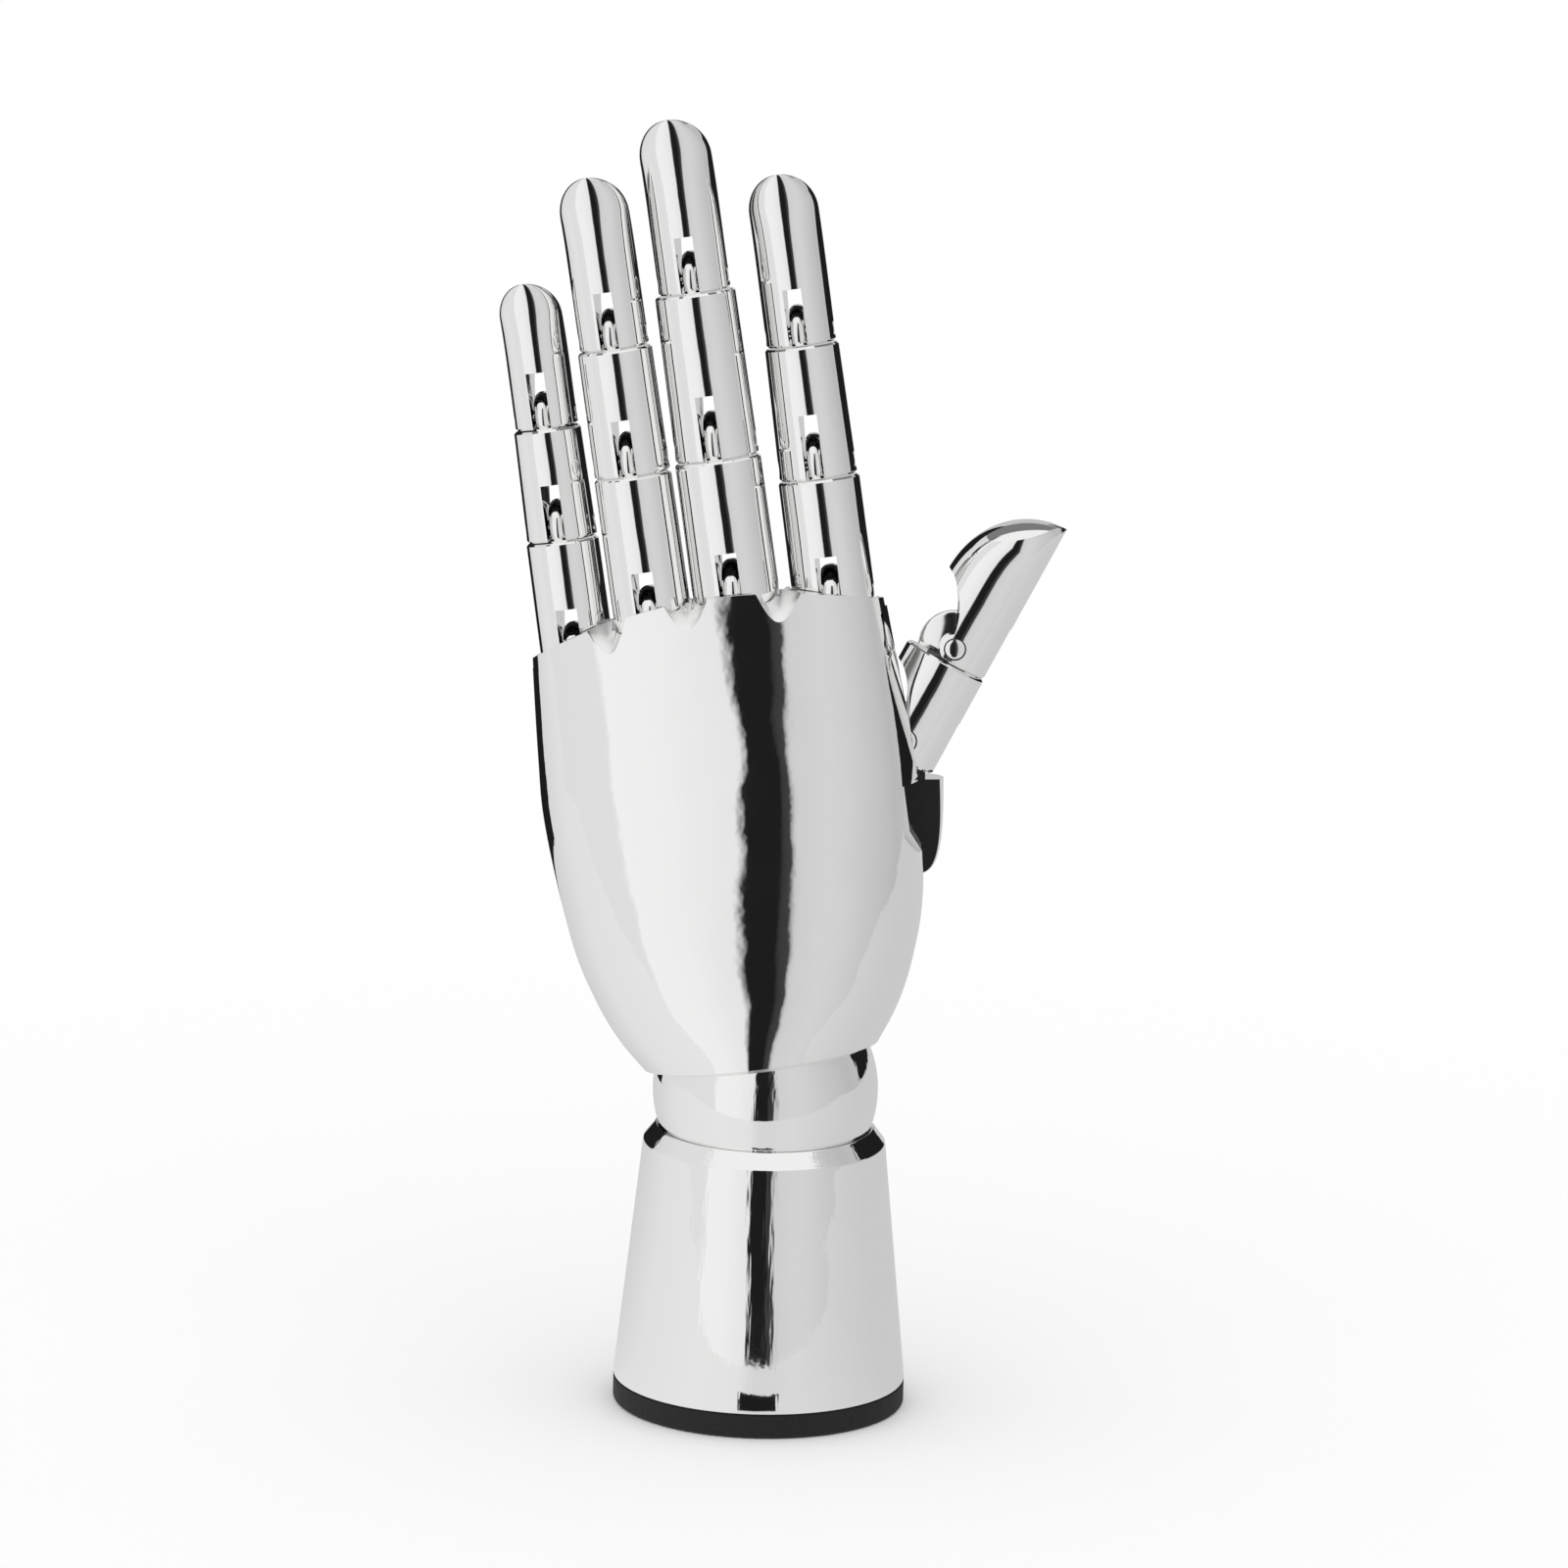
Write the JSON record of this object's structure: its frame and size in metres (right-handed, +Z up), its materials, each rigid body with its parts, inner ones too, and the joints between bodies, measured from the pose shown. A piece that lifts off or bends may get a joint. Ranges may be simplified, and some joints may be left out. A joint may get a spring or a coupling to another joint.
{
  "type": "articulated display hand",
  "caption": "Mirror-finished jointed hand on a round tapered base, with a ball wrist, hinged fingers and a turning thumb, for showing jewelry.",
  "frame": {"origin": "centre of the base pad's underside, where the display stands", "axes": "+Z up, -Y out of the back of the hand, +X towards the thumb"},
  "size_m": [0.1327, 0.068, 0.3004],
  "materials": {
    "mirror_silver": "polished",
    "joint_steel": "satin",
    "black_pad": "matte"
  },
  "bodies": {
    "base": {"base_pad": "black_pad", "wrist_base": "mirror_silver", "base_spring_pin": "joint_steel"},
    "ball": {"wrist_ball": "mirror_silver"},
    "spring": {"wrist_spring": "joint_steel"},
    "hand": {"palm": "mirror_silver", "palm_spring_eye": "joint_steel", "thumb_pivot": "joint_steel", "little_knuckle_tongue": "joint_steel", "ring_knuckle_tongue": "joint_steel", "middle_knuckle_tongue": "joint_steel", "index_knuckle_tongue": "joint_steel"},
    "little_proximal": {"little_proximal": "mirror_silver", "little_knuckle_pin": "joint_steel", "little_middle_joint_tongue": "joint_steel"},
    "little_middle": {"little_middle": "mirror_silver", "little_middle_joint_pin": "joint_steel", "little_end_joint_tongue": "joint_steel"},
    "little_tip": {"little_tip": "mirror_silver", "little_end_joint_pin": "joint_steel"},
    "ring_proximal": {"ring_proximal": "mirror_silver", "ring_knuckle_pin": "joint_steel", "ring_middle_joint_tongue": "joint_steel"},
    "ring_middle": {"ring_middle": "mirror_silver", "ring_middle_joint_pin": "joint_steel", "ring_end_joint_tongue": "joint_steel"},
    "ring_tip": {"ring_tip": "mirror_silver", "ring_end_joint_pin": "joint_steel"},
    "middle_proximal": {"middle_proximal": "mirror_silver", "middle_knuckle_pin": "joint_steel", "middle_middle_joint_tongue": "joint_steel"},
    "middle_middle": {"middle_middle": "mirror_silver", "middle_middle_joint_pin": "joint_steel", "middle_end_joint_tongue": "joint_steel"},
    "middle_tip": {"middle_tip": "mirror_silver", "middle_end_joint_pin": "joint_steel"},
    "index_proximal": {"index_proximal": "mirror_silver", "index_knuckle_pin": "joint_steel", "index_middle_joint_tongue": "joint_steel"},
    "index_middle": {"index_middle": "mirror_silver", "index_middle_joint_pin": "joint_steel", "index_end_joint_tongue": "joint_steel"},
    "index_tip": {"index_tip": "mirror_silver", "index_end_joint_pin": "joint_steel"},
    "thumb_root": {"thumb_root": "mirror_silver", "thumb_root_tongue": "joint_steel"},
    "thumb_proximal": {"thumb_proximal": "mirror_silver", "thumb_root_pin": "joint_steel", "thumb_joint_tongue": "joint_steel"},
    "thumb_tip": {"thumb_tip": "mirror_silver", "thumb_joint_pin": "joint_steel"}
  },
  "joints": [
    {"name": "wrist_turn", "type": "hinge", "parent": "base", "child": "ball", "pos_m": [0, 0, 0.0753], "axis": [0, 0, 1], "range_deg": [-170, 170]},
    {"name": "wrist_lean_sideways", "type": "hinge", "parent": "ball", "child": "spring", "pos_m": [0, 0, 0.0753], "axis": [0, 1, 0], "range_deg": [-16.5, 33.5], "deforming": ["wrist_spring"]},
    {"name": "wrist_lean_forwards", "type": "hinge", "parent": "spring", "child": "hand", "pos_m": [0, 0, 0.0753], "axis": [1, 0, 0], "range_deg": [-17.5, 32.5], "deforming": ["wrist_spring"]},
    {"name": "little_knuckle", "type": "hinge", "parent": "hand", "child": "little_proximal", "pos_m": [-0.04607, 0.01675, 0.17472], "axis": [-0.976, 0.1315, -0.1733], "range_deg": [0, 70]},
    {"name": "little_middle_joint", "type": "hinge", "parent": "little_proximal", "child": "little_middle", "pos_m": [-0.05062, 0.02054, 0.20321], "axis": [-0.976, 0.1315, -0.1733], "range_deg": [0, 85]},
    {"name": "little_end_joint", "type": "hinge", "parent": "little_middle", "child": "little_tip", "pos_m": [-0.05467, 0.02392, 0.22856], "axis": [-0.976, 0.1315, -0.1733], "range_deg": [0, 50]},
    {"name": "ring_knuckle", "type": "hinge", "parent": "hand", "child": "ring_proximal", "pos_m": [-0.0287, 0.01078, 0.18473], "axis": [-0.9786, 0.1048, -0.1773], "range_deg": [0, 70]},
    {"name": "ring_middle_joint", "type": "hinge", "parent": "ring_proximal", "child": "ring_middle", "pos_m": [-0.03463, 0.01553, 0.22022], "axis": [-0.9786, 0.1048, -0.1773], "range_deg": [0, 85]},
    {"name": "ring_end_joint", "type": "hinge", "parent": "ring_middle", "child": "ring_tip", "pos_m": [-0.03941, 0.01936, 0.24888], "axis": [-0.9786, 0.1048, -0.1773], "range_deg": [0, 50]},
    {"name": "middle_knuckle", "type": "hinge", "parent": "hand", "child": "middle_proximal", "pos_m": [-0.00958, 0.0104, 0.19087], "axis": [-0.98, 0.1003, -0.1716], "range_deg": [0, 70]},
    {"name": "middle_middle_joint", "type": "hinge", "parent": "middle_proximal", "child": "middle_middle", "pos_m": [-0.0151, 0.01495, 0.22504], "axis": [-0.98, 0.1003, -0.1716], "range_deg": [0, 85]},
    {"name": "middle_end_joint", "type": "hinge", "parent": "middle_middle", "child": "middle_tip", "pos_m": [-0.02117, 0.01994, 0.26262], "axis": [-0.98, 0.1003, -0.1716], "range_deg": [0, 50]},
    {"name": "index_knuckle", "type": "hinge", "parent": "hand", "child": "index_proximal", "pos_m": [0.01312, 0.01277, 0.19003], "axis": [-0.9847, 0.0667, -0.1608], "range_deg": [0, 70]},
    {"name": "index_middle_joint", "type": "hinge", "parent": "index_proximal", "child": "index_middle", "pos_m": [0.00842, 0.01679, 0.22051], "axis": [-0.9847, 0.0667, -0.1608], "range_deg": [0, 85]},
    {"name": "index_end_joint", "type": "hinge", "parent": "index_middle", "child": "index_tip", "pos_m": [0.00378, 0.02076, 0.2506], "axis": [-0.9847, 0.0667, -0.1608], "range_deg": [0, 50]},
    {"name": "thumb_turn", "type": "hinge", "parent": "hand", "child": "thumb_root", "pos_m": [0.03029, 0.017, 0.14623], "axis": [0.0271, -0.1157, -0.9929], "range_deg": [-75, 10]},
    {"name": "thumb_root_joint", "type": "hinge", "parent": "thumb_root", "child": "thumb_proximal", "pos_m": [0.03004, 0.01809, 0.15557], "axis": [-0.0187, 0.993, -0.1163], "range_deg": [-15, 0]},
    {"name": "thumb_joint", "type": "hinge", "parent": "thumb_proximal", "child": "thumb_tip", "pos_m": [0.04133, 0.02083, 0.17713], "axis": [0.0187, -0.993, 0.1163], "range_deg": [0, 45]}
  ]
}
